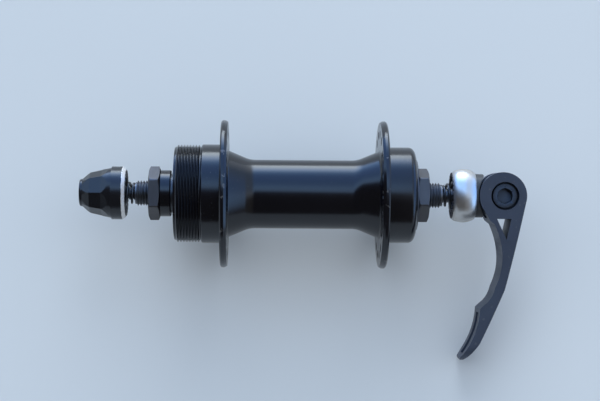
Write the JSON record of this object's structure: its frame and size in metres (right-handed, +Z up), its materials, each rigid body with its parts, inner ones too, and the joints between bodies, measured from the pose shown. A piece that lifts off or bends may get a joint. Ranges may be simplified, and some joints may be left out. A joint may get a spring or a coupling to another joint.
{
  "type": "disc brake front hub",
  "caption": "Black alloy front bicycle hub with a screw-on disc rotor thread, spoke flanges, ball bearings and a quick-release skewer with a curved cam lever.",
  "frame": {"origin": "on the axle line, midway between the outer faces of the lock nuts", "axes": "+Y along the axle toward the disc thread, +X forward, +Z up; the closed lever points to -X and leans down to the surface that the flanges stand on"},
  "size_m": [0.0823, 0.1594, 0.0528],
  "materials": {
    "black_alloy": "glossy black anodised or painted alloy",
    "matt_black_alloy": "fine matt black coat on cast alloy",
    "bright_alloy": "turned and polished bare alloy",
    "plain_steel": "zinc-plated steel",
    "hard_steel": "ground hardened steel",
    "black_steel": "black-oxide steel",
    "spring_steel": "dark spring wire",
    "black_plastic": "moulded black plastic",
    "nylon": "off-white nylon"
  },
  "bodies": {
    "axle_set": {"axle": "plain_steel", "left_cone": "hard_steel", "right_cone": "hard_steel", "left_lock_washer": "plain_steel", "right_lock_washer": "plain_steel", "left_spacer": "black_alloy", "left_locknut": "black_steel", "right_locknut": "black_steel"},
    "shell": {"hub_shell": "black_alloy", "left_cup": "hard_steel", "right_cup": "hard_steel", "left_dust_cap": "black_steel", "right_dust_cap": "black_steel"},
    "left_ball_ring": {"left_balls": "hard_steel", "left_ball_cage": "plain_steel"},
    "right_ball_ring": {"right_balls": "hard_steel", "right_ball_cage": "plain_steel"},
    "skewer": {"skewer_rod": "plain_steel", "pivot_pin": "black_steel"},
    "lever_body": {"lever": "matt_black_alloy"},
    "cap": {"cam_cap": "bright_alloy", "cap_ring": "black_steel", "saddle": "black_plastic", "right_spring": "spring_steel"},
    "left_spring_body": {"left_spring": "spring_steel"},
    "adjusting_nut": {"end_nut": "black_alloy", "nut_ring": "black_steel", "nut_lock_ring": "nylon"}
  },
  "joints": [
    {"name": "hub_spin", "type": "hinge", "parent": "axle_set", "child": "shell", "pos_m": [0, 0, 0], "axis": [0, 1, 0], "continuous": true},
    {"name": "left_balls_orbit", "type": "hinge", "parent": "axle_set", "child": "left_ball_ring", "pos_m": [0, 0.034, 0], "axis": [0, 1, 0], "continuous": true},
    {"name": "right_balls_orbit", "type": "hinge", "parent": "axle_set", "child": "right_ball_ring", "pos_m": [0, -0.0383, 0], "axis": [0, 1, 0], "continuous": true},
    {"name": "skewer_turn", "type": "hinge", "parent": "axle_set", "child": "skewer", "pos_m": [0, 0, 0], "axis": [0, 1, 0], "continuous": true},
    {"name": "lever_swing", "type": "hinge", "parent": "skewer", "child": "lever_body", "pos_m": [0, -0.07675, 0], "axis": [-0.3587, 0, 0.9334], "range_deg": [0, 168]},
    {"name": "cap_slide", "type": "slide", "parent": "skewer", "child": "cap", "axis": [0, -1, 0], "range_m": [0, 0.00132], "deforming": ["right_spring"]},
    {"name": "nut_travel", "type": "slide", "parent": "skewer", "child": "left_spring_body", "axis": [0, -1, 0], "range_m": [-0.00402, 0.00281], "deforming": ["left_spring"]},
    {"name": "nut_turn", "type": "hinge", "parent": "left_spring_body", "child": "adjusting_nut", "pos_m": [0, 0.065, 0], "axis": [0, -1, 0], "range_deg": [-1800, 1260]}
  ],
  "couplings": [
    {"joint": "left_balls_orbit", "follows": "hub_spin", "ratio": 0.5968},
    {"joint": "right_balls_orbit", "follows": "hub_spin", "ratio": 0.5968},
    {"joint": "cap_slide", "follows": "lever_swing", "m_per_rad": 0.00044563},
    {"joint": "nut_travel", "follows": "nut_turn", "m_per_rad": 0.00012732}
  ]
}
